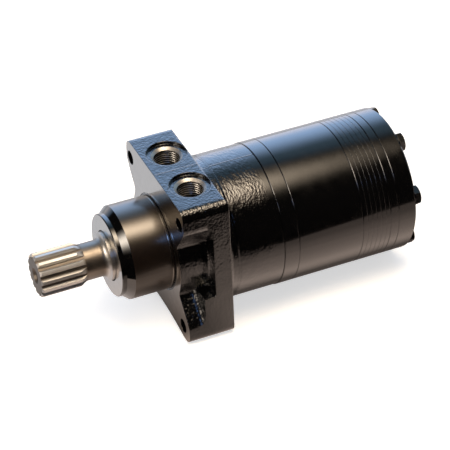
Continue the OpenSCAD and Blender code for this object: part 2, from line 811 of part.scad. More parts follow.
module drive_link() {
    half = link_tooth_len / 2 + 1;
    ball_turn = 21;
    ball_steps = 6;
    color("#8d9094") translate([0, link_front_y, 0]) rotate([link_tilt, 0, 0]) {
        turned([[-half, 0], [-half, link_root_r - 0.8], [0.8 - half, link_root_r], [half, link_root_r],
                [half + 3, link_shank_r], [link_mid - half - 3, link_shank_r],
                [link_mid - half, link_root_r], [link_mid + half, link_root_r],
                [link_mid + half + 4, link_tail_r], [link_ball - 4, link_tail_r],
                for (i = [-ball_steps : ball_steps]) let (t = ball_turn * i / ball_steps)
                    [link_ball + link_ball_r * sin(t), link_ball_r * cos(t)],
                [link_ball + link_ball_r * sin(ball_turn), 0]]);
        crowned_end(0);
        translate([0, link_mid, 0]) crowned_end(rotor_turn);
    }
}

module rotor() {
    start = wear_plate_end + end_gap;
    finish = rotor_set_end - end_gap;
    relief_r = socket_major_r + 1.6;
    color("#a9acb0") translate([0, 0, eccentricity]) rotate([0, rotor_turn, 0]) difference() {
        plate(start, finish) polygon([for (i = [0 : rotor_steps - 1]) rotor_point(spread(360 / rotor_steps * i))]);
        plate(rotor_mid_y - socket_half - 1, rotor_mid_y + socket_half + 1) link_socket();
        rod(relief_r, start - 1, rotor_mid_y - socket_half);
        rod(relief_r, rotor_mid_y + socket_half, finish + 1);
    }
}

module roller(i) {
    color("#c9ccd0") rotate([0, roller_turn + 360 / roller_count * i, 0])
        translate([0, 0, roller_circle_r]) rod(roller_r, wear_plate_end + end_gap, rotor_set_end - end_gap);
}

module roller_1() { roller(0); }
module roller_2() { roller(1); }
module roller_3() { roller(2); }
module roller_4() { roller(3); }
module roller_5() { roller(4); }
module roller_6() { roller(5); }
module roller_7() { roller(6); }

// Commutator, carried round by the link's ball nose

commutator_start = manifold_end + end_gap;
commutator_finish = commutator_ring_end - end_gap;
seal_groove_in_r = commutator_r - 6;
seal_groove_out_r = commutator_r - 3.5;
seal_groove_depth = 1.8;

module commutator() {
    feed_in_r = 13;
    feed_out_r = 22;
    feed_depth = 2.2;
    hole_count = 6;
    color("#a9acb0") translate([0, 0, commutator_ecc]) difference() {
        tube(link_ball_r + ball_gap, commutator_r, commutator_start, commutator_finish);
        tube(feed_in_r, feed_out_r, commutator_start - 1, commutator_start + feed_depth);
        tube(seal_groove_in_r, seal_groove_out_r, commutator_finish - seal_groove_depth, commutator_finish + 1);
        around(hole_count, (feed_in_r + feed_out_r) / 2, 0)
            rod(2.5, commutator_start, commutator_finish + 1);
    }
}

module commutator_seal_ring() {
    color("#3a3328") translate([0, 0, commutator_ecc])
        tube(seal_groove_in_r, seal_groove_out_r, commutator_finish - seal_groove_depth, commutator_finish);
}

// Seal rings between the sections

module seal_ring(y0) {
    color("#0f0f10") tube(ring_in_r, ring_out_r, y0, y0 + ring_t);
}

module housing_seal_ring() { seal_ring(barrel_end - ring_t); }
module wear_plate_seal_ring() { seal_ring(wear_plate_end - ring_t); }
module rotor_set_seal_ring() { seal_ring(rotor_set_end - ring_t); }
module manifold_seal_ring() { seal_ring(manifold_end - ring_t); }
module end_cover_seal_ring() { seal_ring(commutator_ring_end); }

housing();
wear_plate();
rotor_set_ring();
manifold();
commutator_ring();
end_cover();
end_bolts();
output_shaft();
dust_seal();
shaft_seal();
seal_backup_washer();
front_bearing_race();
front_bearing_cage();
front_bearing_rollers();
thrust_washer();
thrust_bearing_cage();
thrust_bearing_rollers();
rear_bearing_race();
rear_bearing_cage();
rear_bearing_rollers();
drive_link();
rotor();
roller_1();
roller_2();
roller_3();
roller_4();
roller_5();
roller_6();
roller_7();
commutator();
commutator_seal_ring();
housing_seal_ring();
wear_plate_seal_ring();
rotor_set_seal_ring();
manifold_seal_ring();
end_cover_seal_ring();
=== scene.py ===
# Visual model of a gerotor hydraulic motor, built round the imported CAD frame.
# Lengths are metres in the part's own frame: the shaft axis is Y and the shaft points to -Y, the ports
# open to +Z, and the origin is on that axis in the plane of the flange's mounting face.
import json
import math

import bmesh
import bpy
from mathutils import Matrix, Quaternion, Vector


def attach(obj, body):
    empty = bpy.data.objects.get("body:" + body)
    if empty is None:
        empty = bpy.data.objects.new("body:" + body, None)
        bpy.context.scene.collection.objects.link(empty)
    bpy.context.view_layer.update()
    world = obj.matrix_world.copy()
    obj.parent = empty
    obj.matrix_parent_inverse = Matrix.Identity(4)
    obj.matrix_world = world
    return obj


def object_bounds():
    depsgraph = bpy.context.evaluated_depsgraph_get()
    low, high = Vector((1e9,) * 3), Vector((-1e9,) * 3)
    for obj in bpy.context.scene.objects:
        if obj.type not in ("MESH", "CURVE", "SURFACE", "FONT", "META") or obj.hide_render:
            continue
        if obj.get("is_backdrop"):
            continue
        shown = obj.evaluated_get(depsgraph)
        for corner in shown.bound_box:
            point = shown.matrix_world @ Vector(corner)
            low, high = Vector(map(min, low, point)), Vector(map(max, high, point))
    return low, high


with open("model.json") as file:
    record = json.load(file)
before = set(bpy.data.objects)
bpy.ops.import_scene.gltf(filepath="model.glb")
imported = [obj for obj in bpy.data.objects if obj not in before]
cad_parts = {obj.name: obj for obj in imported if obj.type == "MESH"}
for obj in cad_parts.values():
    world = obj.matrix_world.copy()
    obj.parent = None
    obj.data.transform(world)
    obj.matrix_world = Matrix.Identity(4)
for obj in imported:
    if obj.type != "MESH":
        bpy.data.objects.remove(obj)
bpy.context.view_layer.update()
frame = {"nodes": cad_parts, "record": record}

MM = 0.001
NODES = frame["nodes"]

# Sizes and places of the CAD model that the finishes follow, in millimetres
PORT_X = 20.8
PORT_Y = 18.4
PORT_MAJOR_R = 10.5
PORT_FLOOR_Z = 40.6
SPOT_FACE_Z = 54.6
NOSE_END_Y = -37.7
NOSE_R = 34
NOSE_CHAMFER_Y = -29.5
NOSE_FACE_R = 29.3
NOSE_GROOVE_Y = -1.7
BLOCK_LENGTH = 34
BARREL_RIM_Y = 41.6
BARREL_END_Y = 75.3
SPLINE_END_Y = -56.6
SPLINE_ROOT_R = 13.2
SHAFT_TIP_Y = -90.6

# The thread ridges, in millimetres: crest and root radius, pitch and ends. They stand on the walls of
# the plain holes. G 1/2 has 14 threads to the inch, and M10 has a pitch of 1.5 mm
PORT_CREST_R = 8.75
PORT_ROOT_R = 9.34
PORT_PITCH = 25.4 / 14
PORT_THREAD_SPAN = (41.6, 52.3)
END_CREST_R = 4.0
END_ROOT_R = 4.27
END_PITCH = 1.5
END_THREAD_SPAN = (SHAFT_TIP_Y + 2.6, SHAFT_TIP_Y + 22)

# The shaft axis passes through the origin. A distance from an axis leaves out the direction along it
ORIGIN = (0, 0, 0)
ACROSS_SHAFT = (1, 0, 1)
ACROSS_PORT = (1, 1, 0)
BEVEL_SAMPLES = 4


# Camera

# The camera stands where the photograph's was, with a long lens and a slight roll
CAMERA_EYE = Vector((1.0699, -0.4001, 0.8720))
CAMERA_AIM = Vector((0.0398, 0.0355, 0.0299))
CAMERA_ROLL = math.radians(-1.588)
camera_data = bpy.data.cameras.new("camera")
camera_data.sensor_width = 36
camera_data.lens = 163.5
camera_data.clip_end = 20
camera = bpy.data.objects.new("camera", camera_data)
bpy.context.scene.collection.objects.link(camera)
look = (CAMERA_AIM - CAMERA_EYE).to_track_quat("-Z", "Y")
camera.rotation_mode = "QUATERNION"
camera.rotation_quaternion = look @ Quaternion((0, 0, 1), CAMERA_ROLL)
camera.location = CAMERA_EYE
bpy.context.scene.camera = camera


# Nodes and colours

def linear(hex_colour):
    """The linear RGBA colour of an sRGB hex value such as 17181b."""
    shares = [int(hex_colour[i:i + 2], 16) / 255 for i in (0, 2, 4)]
    return [s / 12.92 if s <= 0.04045 else ((s + 0.055) / 1.055) ** 2.4 for s in shares] + [1]


def add(tree, kind, inputs=None, **settings):
    """Adds a node with its settings. An input that is given another node, or one of its outputs, is
    linked to it."""
    node = tree.nodes.new(kind)
    for name, value in settings.items():
        setattr(node, name, value)
    for name, value in (inputs or {}).items():
        if isinstance(value, bpy.types.Node):
            value = next(output for output in value.outputs if output.enabled)
        if isinstance(value, bpy.types.NodeSocket):
            tree.links.new(value, node.inputs[name])
        else:
            node.inputs[name].default_value = value
    return node


def start_material(name):
    """A material with an empty tree, and the place on the surface in millimetres."""
    material = bpy.data.materials.new(name)
    material.use_nodes = True
    tree = material.node_tree
    tree.nodes.clear()
    metres = add(tree, "ShaderNodeTexCoord").outputs["Object"]
    place = add(tree, "ShaderNodeVectorMath", {0: metres, "Scale": 1 / MM}, operation="SCALE")
    return material, tree, place


# Light and surroundings

def soft_lamp(name, place, aim, size, fade, radiance, colour):
    """A rectangular lamp that is brightest in its middle and fades towards its rim, as a flash
    bounced off a ceiling or a hazy window does. Radiance is how bright a mirror shows its middle,
    with white paper at about 1, and a fade is how far from the middle six tenths of that is left."""
    lamp = bpy.data.lights.new(name, "AREA")
    lamp.shape = "RECTANGLE"
    lamp.size, lamp.size_y = size
    lamp.color = linear(colour)[:3]
    lamp.energy = radiance * math.pi * size[0] * size[1]
    lamp.use_nodes = True
    tree = lamp.node_tree
    tree.nodes.clear()
    across = add(tree, "ShaderNodeNewGeometry").outputs["Parametric"]
    middle = add(tree, "ShaderNodeVectorMath", {0: across, 1: (0.5, 0.5, 0)}, operation="SUBTRACT")
    steps = add(tree, "ShaderNodeVectorMath", {0: middle, 1: (size[0] / fade[0], size[1] / fade[1], 0)},
                operation="MULTIPLY")
    squared = add(tree, "ShaderNodeVectorMath", {0: steps, 1: steps}, operation="DOT_PRODUCT")
    halved = add(tree, "ShaderNodeMath", {0: squared, 1: -0.5}, operation="MULTIPLY")
    bell = add(tree, "ShaderNodeMath", {0: halved}, operation="EXPONENT")
    glow = add(tree, "ShaderNodeEmission", {"Strength": bell})
    add(tree, "ShaderNodeOutputLight", {"Surface": glow})
    holder = bpy.data.objects.new(name, lamp)
    holder.location = place
    holder.rotation_mode = "QUATERNION"
    holder.rotation_quaternion = (Vector(aim) - Vector(place)).to_track_quat("-Z", "Y")
    holder.visible_camera = False
    bpy.context.scene.collection.objects.link(holder)


# The key hangs level over the motor, and the cool window stands upright on its far side. The front
# window is before the shaft's end, and the doorway's glow comes from the camera's side
soft_lamp("key_overhead", (0.23, 0.15, 1.2), (0.23, 0.15, 0), (1.3, 1.1), (0.235, 0.2), 13.7, "ffe9cc")
soft_lamp("cool_window", (-1.2, 0.5, 0.62), (0, 0.5, 0.62), (2.4, 2.4), (0.6, 0.5), 2.2, "b0cfff")
soft_lamp("front_window", (0.21, -1.22, 0.7), (0, 0, 0), (1.0, 1.0), (0.2, 0.2), 12, "fff0de")
soft_lamp("doorway_glow", (1.04, -0.44, 0.89), (0, 0, 0), (0.5, 0.5), (0.09, 0.09), 4, "8fb8ff")


def studio_world():
    """White where the camera looks. Gloss sees pale walls low on the far side and a dark room."""
    world = bpy.data.worlds.new("studio")
    bpy.context.scene.world = world
    world.use_nodes = True
    tree = world.node_tree
    tree.nodes.clear()
    wall_side = (-0.8, 0.6, 0)
    direction = add(tree, "ShaderNodeTexCoord").outputs["Generated"]
    parts = add(tree, "ShaderNodeSeparateXYZ", {0: direction}).outputs
    towards_wall = add(tree, "ShaderNodeVectorMath", {0: direction, 1: wall_side},
                       operation="DOT_PRODUCT")
    far_side = add(tree, "ShaderNodeMapRange", {"Value": towards_wall, "From Min": 0.3, "From Max": 0.62},
                   interpolation_type="SMOOTHSTEP")
    low = add(tree, "ShaderNodeMapRange", {"Value": parts["Z"], "From Min": 0.35, "From Max": -0.05},
              interpolation_type="SMOOTHSTEP")
    wall = add(tree, "ShaderNodeMix", {"Factor": low, "A": linear("86aac4"), "B": linear("eee0d2")},
               data_type="RGBA")
    room = add(tree, "ShaderNodeMix", {"Factor": far_side, "A": linear("12100f"), "B": wall},
               data_type="RGBA")
    path = add(tree, "ShaderNodeLightPath").outputs
    shiny = add(tree, "ShaderNodeMath", {0: path["Is Glossy Ray"], 1: path["Is Transmission Ray"]},
                operation="MAXIMUM")
    lit = add(tree, "ShaderNodeMix", {"Factor": shiny, "A": linear("707070"), "B": room}, data_type="RGBA")
    seen = add(tree, "ShaderNodeMix",
               {"Factor": path["Is Camera Ray"], "A": lit, "B": linear("ffffff")}, data_type="RGBA")
    background = add(tree, "ShaderNodeBackground", {"Color": seen})
    add(tree, "ShaderNodeOutputWorld", {"Surface": background})


studio_world()


def painted_paper_reflection(tree, place):
    """Painted reflection: the colour and brightness that gloss sees on the paper, given as a glow in place
    of the lit paper. It is warm and bright beside the motor, cooler on the window's side and dark past a
    straight edge, and it carries a painted shadow under the motor and beside the flange."""
    edge_across = (0.8175, -0.576, 0)
    edge_at = 108
    edge_blur = 10
    far_side_level = 0.72
    parts = add(tree, "ShaderNodeSeparateXYZ", {0: place}).outputs
    near = add(tree, "ShaderNodeMapRange",
               {"Value": parts["X"], "From Min": 60, "From Max": 180, "To Min": 1.1, "To Max": 0.45})
    # Painted shade on the paper next to the flange's plane
    from_flange = add(tree, "ShaderNodeMath", {0: parts["Y"]}, operation="ABSOLUTE")
    beside_flange = add(tree, "ShaderNodeMapRange",
                        {"Value": from_flange, "From Min": 20, "From Max": 45, "To Min": 0.5, "To Max": 1})
    # The straight edge runs from (175, 60) to (330, 280), in millimetres
    beyond = add(tree, "ShaderNodeVectorMath", {0: place, 1: edge_across}, operation="DOT_PRODUCT")
    on_paper = add(tree, "ShaderNodeMapRange",
                   {"Value": beyond, "From Min": edge_at + edge_blur, "From Max": edge_at - edge_blur},
                   interpolation_type="SMOOTHSTEP")
    brightness = add(tree, "ShaderNodeMath", {0: near, 1: on_paper}, operation="MULTIPLY")
    warm_side = add(tree, "ShaderNodeMath", {0: brightness, 1: beside_flange}, operation="MULTIPLY")
    # Painted shadow under the motor, deepest behind the flange
    from_middle = add(tree, "ShaderNodeMath", {0: parts["X"]}, operation="ABSOLUTE")
    clear = add(tree, "ShaderNodeMapRange",
                {"Value": parts["Y"], "From Min": 10, "From Max": -40, "To Min": 0.1, "To Max": 0.8},
                interpolation_type="SMOOTHSTEP")
    shade = add(tree, "ShaderNodeMapRange",
                {"Value": from_middle, "From Min": 34, "From Max": 60, "To Min": clear, "To Max": 1},
                interpolation_type="SMOOTHSTEP")
    on_far_side = add(tree, "ShaderNodeMapRange", {"Value": parts["X"], "From Min": 60, "From Max": -90},
                      interpolation_type="SMOOTHSTEP")
    side = add(tree, "ShaderNodeMix", {"Factor": on_far_side, "A": warm_side, "B": far_side_level})
    level = add(tree, "ShaderNodeMath", {0: side, 1: shade}, operation="MULTIPLY")
    tint = add(tree, "ShaderNodeMix",
               {"Factor": on_far_side, "A": linear("ffe6d6"), "B": linear("f6f8ff")}, data_type="RGBA")
    return tint, level


def matt_white_paper():
    """Uncoated white paper: dull, and lifted a little where the camera looks so that it reads white."""
    camera_lift = 0.6
    material, tree, place = start_material("matt_white_paper")
    path = add(tree, "ShaderNodeLightPath").outputs
    tone = add(tree, "ShaderNodeMix",
               {"Factor": path["Is Camera Ray"], "A": linear("e6d6c6"), "B": linear("f2f1ee")},
               data_type="RGBA")
    paper = add(tree, "ShaderNodeBsdfDiffuse", {"Color": tone})
    lift = add(tree, "ShaderNodeEmission", {"Strength": camera_lift})
    seen = add(tree, "ShaderNodeAddShader", {0: paper, 1: lift})
    plain = add(tree, "ShaderNodeMixShader", {0: path["Is Camera Ray"], 1: paper, 2: seen})
    # Glossy rays see a painted reflection of the paper, with a painted shadow, as a glow
    tint, level = painted_paper_reflection(tree, place)
    painted_reflection = add(tree, "ShaderNodeEmission", {"Color": tint, "Strength": level})
    both = add(tree, "ShaderNodeMixShader", {0: path["Is Glossy Ray"], 1: plain, 2: painted_reflection})
    add(tree, "ShaderNodeOutputMaterial", {"Surface": both})
    return material


def studio_floor():
    """A round table of white paper just under the flange's bottom ears, which the motor lies on."""
    radius = 0.75
    centre_x = -0.15
    centre_y = 0.05
    gap = 0.0002
    mesh = bpy.data.meshes.new("studio_floor")
    work = bmesh.new()
    bmesh.ops.create_circle(work, cap_ends=True, segments=96, radius=radius)
    top_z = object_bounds()[0][2] - gap
    bmesh.ops.translate(work, verts=work.verts, vec=(centre_x, centre_y, top_z))
    work.to_mesh(mesh)
    work.free()
    floor = bpy.data.objects.new("studio_floor", mesh)
    bpy.context.scene.collection.objects.link(floor)
    floor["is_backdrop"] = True
    mesh.materials.append(matt_white_paper())


studio_floor()


# Finishes

def black_enamel(tree, roughness, skin_roughness, surface):
    """Gloss black enamel: near black, with a clear wet-looking skin."""
    return add(tree, "ShaderNodeBsdfPrincipled",
               {"Base Color": linear("060607"), "Roughness": roughness, "IOR": 1.5, "Coat Weight": 1.0,
                "Coat Roughness": skin_roughness, "Coat IOR": 1.5,
                "Normal": surface, "Coat Normal": surface})


def distance_from(tree, place, centre, keep):
    """How far a place is from a line through centre, along the axis that keep leaves out."""
    offset = add(tree, "ShaderNodeVectorMath", {0: place, 1: centre}, operation="SUBTRACT")
    flat = add(tree, "ShaderNodeVectorMath", {0: offset, 1: keep}, operation="MULTIPLY")
    return add(tree, "ShaderNodeVectorMath", {0: flat}, operation="LENGTH")


def sand_cast_skin(tree, place, facing, behind_nose):
    """Enamel sprayed on sand-cast iron. The sand's grain shows through it as hard glints."""
    parts = add(tree, "ShaderNodeSeparateXYZ", {0: place}).outputs
    x, y = parts["X"], parts["Y"]
    edges = add(tree, "ShaderNodeBevel", {"Radius": 0.9 * MM}, samples=BEVEL_SAMPLES)
    # Sand grain about 2 mm across, with finer grain on it, in patches that are rough or worn smooth.
    # Both are drawn coarser than real sand, which is too fine to show
    coarse = add(tree, "ShaderNodeTexNoise", {"Vector": place, "Scale": 1 / 2.0, "Detail": 2.0,
                                              "Roughness": 0.5, "Distortion": 0.5})
    fine = add(tree, "ShaderNodeTexNoise", {"Vector": place, "Scale": 1 / 1.4, "Detail": 0.0})
    grain = add(tree, "ShaderNodeMath", {0: fine.outputs[0], 1: 0.4, 2: coarse.outputs[0]},
                operation="MULTIPLY_ADD")
    patches = add(tree, "ShaderNodeTexNoise", {"Vector": place, "Scale": 1 / 14, "Detail": 1.0})
    depth = add(tree, "ShaderNodeMapRange", {"Value": patches.outputs[0], "From Min": 0.3, "From Max": 0.7,
                                             "To Min": 0.55, "To Max": 1.0})
    # On the barrel the grain is finer and runs at 45 degrees, and fades out towards the turned rear
    streaks = add(tree, "ShaderNodeMapping", {"Vector": place, "Rotation": (0, 0, math.radians(45)),
                                              "Scale": (0.45, 1, 1)})
    drawn = add(tree, "ShaderNodeTexNoise", {"Vector": streaks, "Scale": 1 / 1.6, "Detail": 2.0,
                                             "Roughness": 0.5})
    on_barrel = add(tree, "ShaderNodeMapRange", {"Value": y, "From Min": BLOCK_LENGTH + 2,
                                                 "From Max": BLOCK_LENGTH + 10})
    chosen = add(tree, "ShaderNodeMix", {"Factor": on_barrel, "A": grain, "B": drawn.outputs[0]})
    before_rear = add(tree, "ShaderNodeMapRange", {"Value": y, "From Min": BARREL_END_Y - 3,
                                                   "From Max": BARREL_END_Y - 10})
    rough_part = add(tree, "ShaderNodeMath", {0: behind_nose, 1: before_rear}, operation="MULTIPLY")
    # The block's sides came out of the mould smoother than its top
    sideways = add(tree, "ShaderNodeMath", {0: facing["X"]}, operation="ABSOLUTE")
    calmer = add(tree, "ShaderNodeMapRange", {"Value": sideways, "From Min": 0.8, "From Max": 0.95,
                                              "To Min": 1, "To Max": 0.6})
    on_part = add(tree, "ShaderNodeMath", {0: rough_part, 1: calmer}, operation="MULTIPLY")
    strength = add(tree, "ShaderNodeMath", {0: on_part, 1: depth}, operation="MULTIPLY")
    waves = add(tree, "ShaderNodeTexNoise", {"Vector": place, "Scale": 1 / 9, "Detail": 2.0})
    # The rim where the barrel begins is a small rounded bead, which leans back and catches the window
    rim = add(tree, "ShaderNodeMapRange", {"Value": y, "From Min": BARREL_RIM_Y - 1,
                                           "From Max": BARREL_RIM_Y, "To Min": 1, "To Max": 0})
    beaded = add(tree, "ShaderNodeBump", {"Height": rim, "Distance": 3.4 * MM, "Normal": edges})
    waved = add(tree, "ShaderNodeBump", {"Height": waves.outputs[0], "Strength": rough_part,
                                         "Distance": 0.25 * MM, "Normal": beaded})
    # The mould's halves met at the middle, which leaves a fine line across the top between the ports
    off_middle = add(tree, "ShaderNodeMath", {0: x}, operation="ABSOLUTE")
    parting = add(tree, "ShaderNodeMapRange", {"Value": off_middle, "From Min": 0.15, "From Max": 0.5,
                                               "To Min": 1, "To Max": 0})
    seamed = add(tree, "ShaderNodeBump", {"Height": parting, "Strength": behind_nose,
                                          "Distance": 0.12 * MM, "Normal": waved})
    grained = add(tree, "ShaderNodeBump", {"Height": chosen, "Strength": strength,
                                           "Distance": 0.42 * MM, "Normal": seamed})
    sheen = add(tree, "ShaderNodeMapRange", {"Value": patches.outputs[0], "From Min": 0.3, "From Max": 0.7,
                                             "To Min": 0.1, "To Max": 0.18})
    return black_enamel(tree, sheen, 0.04, grained)


def nose_coat(tree, place, edges):
    """The turned nose's thinner, satin coat with a brown cast, which shows the turning marks, and the
    polished black chamfer in front of it."""
    y = add(tree, "ShaderNodeSeparateXYZ", {0: place}).outputs["Y"]
    rings = add(tree, "ShaderNodeVectorMath", {0: place, 1: (0.05, 1 / 0.7, 0.05)}, operation="MULTIPLY")
    turning = add(tree, "ShaderNodeTexNoise", {"Vector": rings, "Scale": 1.0, "Detail": 2.0})
    turned = add(tree, "ShaderNodeBump", {"Height": turning.outputs[0], "Distance": 0.006 * MM,
                                          "Normal": edges})
    satin = add(tree, "ShaderNodeBsdfPrincipled",
                {"Base Color": linear("120a06"), "Roughness": 0.33, "IOR": 1.85, "Coat Weight": 1.0,
                 "Coat Roughness": 0.165, "Coat IOR": 1.5, "Coat Tint": linear("f6ebdf"),
                 "Normal": turned, "Coat Normal": turned})
    polished = black_enamel(tree, 0.1, 0.04, edges)
    on_chamfer = add(tree, "ShaderNodeMath", {0: y, 1: NOSE_CHAMFER_Y}, operation="LESS_THAN")
    return add(tree, "ShaderNodeMixShader", {0: on_chamfer, 1: satin, 2: polished})


def bare_places(tree, place, facing):
    """1 where the iron is bare, and 1 in the ports alone. The bare places are the front face outside the
    nose, the nose's end, and each port's chamfer and bore. A thin bare band at the front edge of the nose's
    groove is a painted highlight, standing in for that edge catching the light."""
    parts = add(tree, "ShaderNodeSeparateXYZ", {0: place}).outputs
    x, y, z = parts["X"], parts["Y"], parts["Z"]
    axis_r = distance_from(tree, place, ORIGIN, ACROSS_SHAFT)
    forward = add(tree, "ShaderNodeMath", {0: facing["Y"], 1: -0.9}, operation="LESS_THAN")
    at_front = add(tree, "ShaderNodeMath", {0: y, 1: 0.0, 2: 0.3}, operation="COMPARE")
    off_nose = add(tree, "ShaderNodeMath", {0: axis_r, 1: NOSE_R + 1.5}, operation="GREATER_THAN")
    front = add(tree, "ShaderNodeMath", {0: at_front, 1: off_nose}, operation="MULTIPLY")
    at_end = add(tree, "ShaderNodeMath", {0: y, 1: NOSE_END_Y + 0.2}, operation="LESS_THAN")
    in_rim = add(tree, "ShaderNodeMath", {0: axis_r, 1: NOSE_FACE_R}, operation="LESS_THAN")
    nose_end = add(tree, "ShaderNodeMath", {0: at_end, 1: in_rim}, operation="MULTIPLY")
    either = add(tree, "ShaderNodeMath", {0: front, 1: nose_end}, operation="MAXIMUM")
    machined = add(tree, "ShaderNodeMath", {0: forward, 1: either}, operation="MULTIPLY")
    # Both ports are tested at once, on the right side's place and its mirror
    same_side = add(tree, "ShaderNodeCombineXYZ",
                    {"X": add(tree, "ShaderNodeMath", {0: x}, operation="ABSOLUTE"), "Y": y, "Z": z})
    port_r = distance_from(tree, same_side, (PORT_X, PORT_Y, 0), ACROSS_PORT)
    in_bore = add(tree, "ShaderNodeMath", {0: port_r, 1: PORT_MAJOR_R + 0.9}, operation="LESS_THAN")
    below = add(tree, "ShaderNodeMath", {0: z, 1: SPOT_FACE_Z - 0.02}, operation="LESS_THAN")
    above = add(tree, "ShaderNodeMath", {0: z, 1: PORT_FLOOR_Z - 3}, operation="GREATER_THAN")
    in_span = add(tree, "ShaderNodeMath", {0: below, 1: above}, operation="MULTIPLY")
    mouth = add(tree, "ShaderNodeMath", {0: in_bore, 1: in_span}, operation="MULTIPLY")
    # Painted highlight: a thin band of bare metal at the front edge of the groove at the nose's root,
    # standing in for the edge catching the light
    groove_highlight_band = add(tree, "ShaderNodeMath", {0: y, 1: NOSE_GROOVE_Y, 2: 0.22}, operation="COMPARE")
    over_groove = add(tree, "ShaderNodeMath", {0: axis_r, 1: NOSE_R + 0.3}, operation="LESS_THAN")
    edge = add(tree, "ShaderNodeMath", {0: groove_highlight_band, 1: over_groove}, operation="MULTIPLY")
    cut = add(tree, "ShaderNodeMath", {0: machined, 1: mouth}, operation="MAXIMUM")
    return add(tree, "ShaderNodeMath", {0: cut, 1: edge}, operation="MAXIMUM"), mouth


def milled_iron(tree, place, mouth, edges):
    """Bare machined iron: light grey, clouded, with the faint arcs of a face mill about 1 mm apart, and
    darker towards the floors of the ports."""
    z = add(tree, "ShaderNodeSeparateXYZ", {0: place}).outputs["Z"]
    cloud = add(tree, "ShaderNodeTexNoise", {"Vector": place, "Scale": 1 / 6, "Detail": 3.0}).outputs[0]
    clean = add(tree, "ShaderNodeMix", {"Factor": cloud, "A": linear("c2beb8"), "B": linear("d4d0cb")},
                data_type="RGBA")
    # Darker towards each port's floor
    towards_port_floor = add(tree, "ShaderNodeMapRange", {"Value": z, "From Min": PORT_FLOOR_Z + 6,
                                            "From Max": PORT_FLOOR_Z + 0.5})
    low_in_port = add(tree, "ShaderNodeMath", {0: towards_port_floor, 1: mouth}, operation="MULTIPLY")
    tone = add(tree, "ShaderNodeMix", {"Factor": low_in_port, "A": clean, "B": linear("4e4942")},
               data_type="RGBA")
    mirror = add(tree, "ShaderNodeMapRange", {"Value": cloud, "From Min": 0.3, "From Max": 0.7,
                                              "To Min": 0.1, "To Max": 0.2})
    dull = add(tree, "ShaderNodeMath", {0: mouth, 1: 0.25, 2: mirror}, operation="MULTIPLY_ADD")
    arcs = add(tree, "ShaderNodeTexWave", {"Vector": place, "Scale": 0.3, "Distortion": 1.0, "Detail": 2.0},
               wave_type="RINGS", rings_direction="SPHERICAL")
    milled = add(tree, "ShaderNodeBump", {"Height": arcs.outputs[1], "Distance": 0.003 * MM,
                                          "Normal": edges})
    return add(tree, "ShaderNodeBsdfPrincipled",
               {"Base Color": tone, "Metallic": 1.0, "Roughness": dull, "Normal": milled})


def cast_enamel():
    """The housing: gloss enamel on sand-cast iron, with a satin nose, and the machined faces and port
    threads left bare."""
    material, tree, place = start_material("gloss_enamel_on_sand_cast_iron")
    facing = add(tree, "ShaderNodeSeparateXYZ",
                 {0: add(tree, "ShaderNodeNewGeometry").outputs["Normal"]}).outputs
    y = add(tree, "ShaderNodeSeparateXYZ", {0: place}).outputs["Y"]
    behind_nose = add(tree, "ShaderNodeMapRange", {"Value": y, "From Min": -0.6, "From Max": 0.4})
    cut_edges = add(tree, "ShaderNodeBevel", {"Radius": 0.25 * MM}, samples=BEVEL_SAMPLES)
    cast_paint = sand_cast_skin(tree, place, facing, behind_nose)
    nose_paint = nose_coat(tree, place, cut_edges)
    paint = add(tree, "ShaderNodeMixShader", {0: behind_nose, 1: nose_paint, 2: cast_paint})
    bare, mouth = bare_places(tree, place, facing)
    metal = milled_iron(tree, place, mouth, cut_edges)
    both = add(tree, "ShaderNodeMixShader", {0: bare, 1: paint, 2: metal})
    add(tree, "ShaderNodeOutputMaterial", {"Surface": both})
    return material


def turned_enamel(name, peel_mm, peel_depth_mm, edge_mm):
    """Gloss enamel on turned steel: smooth, with a faint orange peel and shallow waves."""
    material, tree, place = start_material(name)
    edges = add(tree, "ShaderNodeBevel", {"Radius": edge_mm * MM}, samples=BEVEL_SAMPLES)
    waves = add(tree, "ShaderNodeTexNoise", {"Vector": place, "Scale": 1 / 18, "Detail": 1.0})
    waved = add(tree, "ShaderNodeBump",
                {"Height": waves.outputs[0], "Distance": 0.05 * MM, "Normal": edges})
    peel = add(tree, "ShaderNodeTexNoise", {"Vector": place, "Scale": 1 / peel_mm, "Detail": 2.0})
    peeled = add(tree, "ShaderNodeBump", {"Height": peel.outputs[0], "Distance": peel_depth_mm * MM,
                                          "Normal": waved})
    patches = add(tree, "ShaderNodeTexNoise", {"Vector": place, "Scale": 1 / 7, "Detail": 3.0})
    sheen = add(tree, "ShaderNodeMapRange", {"Value": patches.outputs[0], "From Min": 0.3, "From Max": 0.7,
                                             "To Min": 0.12, "To Max": 0.22})
    add(tree, "ShaderNodeOutputMaterial", {"Surface": black_enamel(tree, sheen, 0.05, peeled)})
    return material


